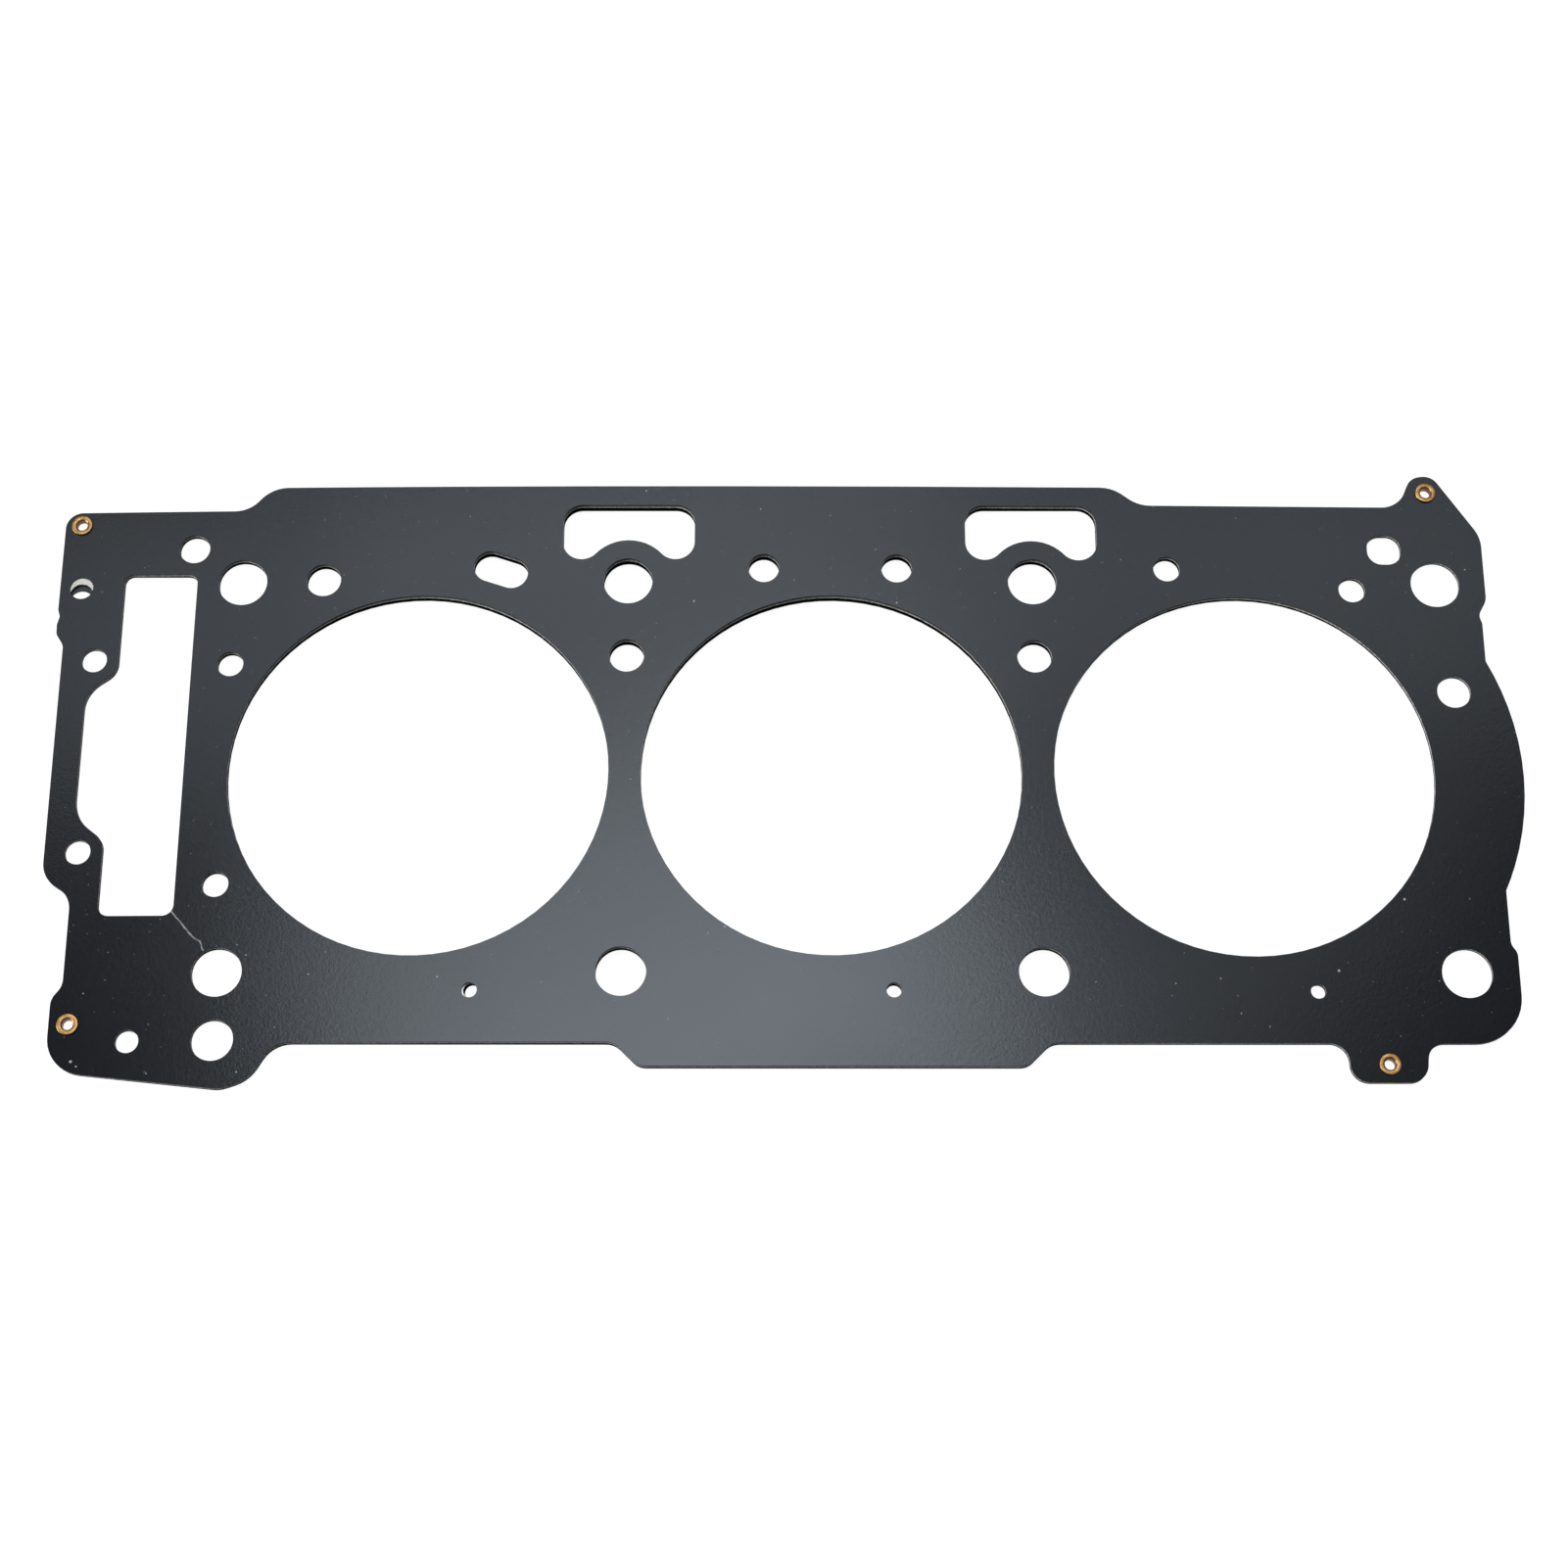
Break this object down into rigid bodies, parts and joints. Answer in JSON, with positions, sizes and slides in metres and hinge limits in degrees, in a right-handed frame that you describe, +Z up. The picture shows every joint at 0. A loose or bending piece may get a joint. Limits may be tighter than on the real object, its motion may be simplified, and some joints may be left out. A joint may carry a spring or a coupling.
{
  "type": "cylinder head gasket",
  "caption": "Laminated steel head gasket for a bank of cylinders: sprung black-coated sheets round a bare steel plate, held by brass eyelets, with large bores and a chain window.",
  "frame": {"origin": "centre of the middle bore on the face that meets the block, which is also the centre of the inner head bolts' pattern", "axes": "+X along the row of bores, away from the timing chain's end; +Y across the bores, towards the edge with the two kidney windows; +Z up through the sheets, towards the head"},
  "size_m": [0.3945, 0.1734, 0.0046],
  "materials": {
    "coating": "satin black rubber coating on spring steel",
    "bare_steel": "bare rolled steel",
    "brass": "rolled brass"
  },
  "bodies": {
    "root": {"bottom_sheet": "coating", "middle_plate": "bare_steel", "top_sheet": "coating", "eyelet_far_left": "brass", "eyelet_far_right": "brass", "eyelet_near_left": "brass", "eyelet_near_right": "brass"}
  },
  "joints": []
}
